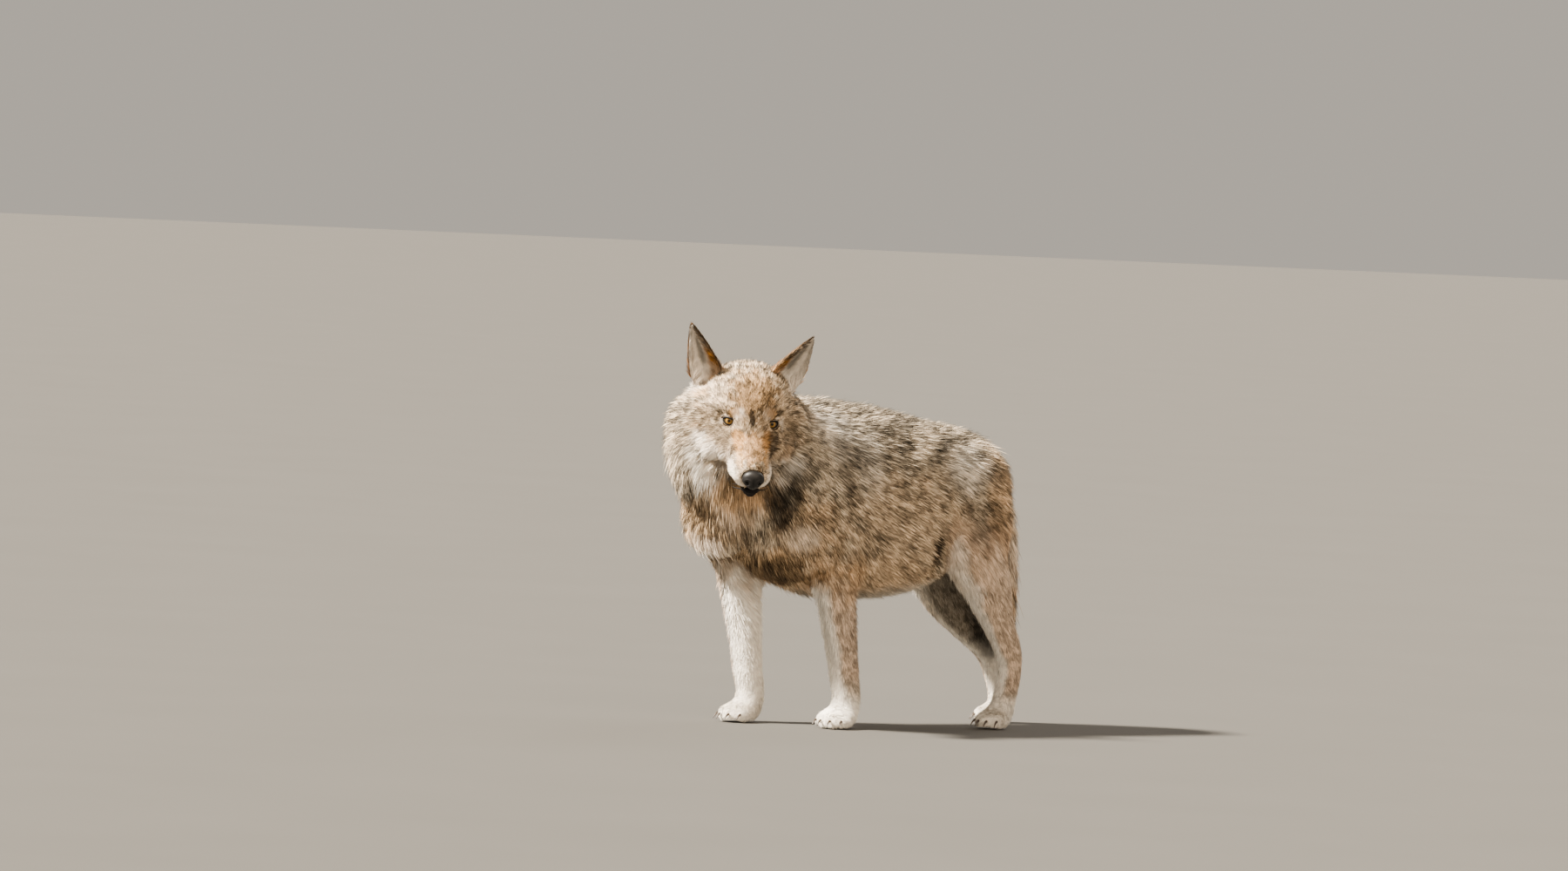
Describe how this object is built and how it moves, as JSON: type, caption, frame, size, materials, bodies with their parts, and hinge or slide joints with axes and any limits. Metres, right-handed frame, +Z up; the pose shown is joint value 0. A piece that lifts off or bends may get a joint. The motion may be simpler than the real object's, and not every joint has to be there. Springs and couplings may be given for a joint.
{
  "type": "timber wolf",
  "caption": "Life-size timber wolf standing at rest in a full winter coat, its head turned to the left and its ears up.",
  "frame": {"origin": "The middle of the wolf's bounding box, on the floor that its paws stand on.", "axes": "+Z is up. +Y runs along the wolf from its head to its tail, which is its longest extent. +X is the wolf's left, and its shortest extent."},
  "size_m": [0.3781, 0.9684, 0.8163],
  "materials": {
    "head_coat": "short grizzled grey and tan fur, white at the muzzle and cheeks",
    "chin_coat": "short off-white fur",
    "neck_coat": "long ruff of grey fur with dark bands",
    "body_coat": "dense grey and fawn fur with black-tipped guard hairs",
    "tail_coat": "bushy grey fur with a black tip",
    "ear_coat": "short rusty fur, pale inside the cup",
    "fore_leg_coat": "short cream fur, rusty behind",
    "thigh_coat": "grey and fawn fur",
    "hind_leg_coat": "short fur, cream in front and rusty behind",
    "paw_coat": "short off-white fur with dark horn claws",
    "eye": "clear cornea over an amber iris",
    "nose_pad": "bare, black and moist, pebbled"
  },
  "bodies": {
    "root": {"head": "head_coat", "lower_jaw": "chin_coat", "neck": "neck_coat", "trunk": "body_coat", "tail": "tail_coat", "ear_left": "ear_coat", "ear_right": "ear_coat", "eye_left": "eye", "eye_right": "eye", "nose": "nose_pad", "fore_leg_left": "fore_leg_coat", "fore_leg_right": "fore_leg_coat", "fore_paw_left": "paw_coat", "fore_paw_right": "paw_coat", "thigh_left": "thigh_coat", "thigh_right": "thigh_coat", "hind_leg_left": "hind_leg_coat", "hind_leg_right": "hind_leg_coat", "hind_paw_left": "paw_coat", "hind_paw_right": "paw_coat"}
  },
  "joints": []
}
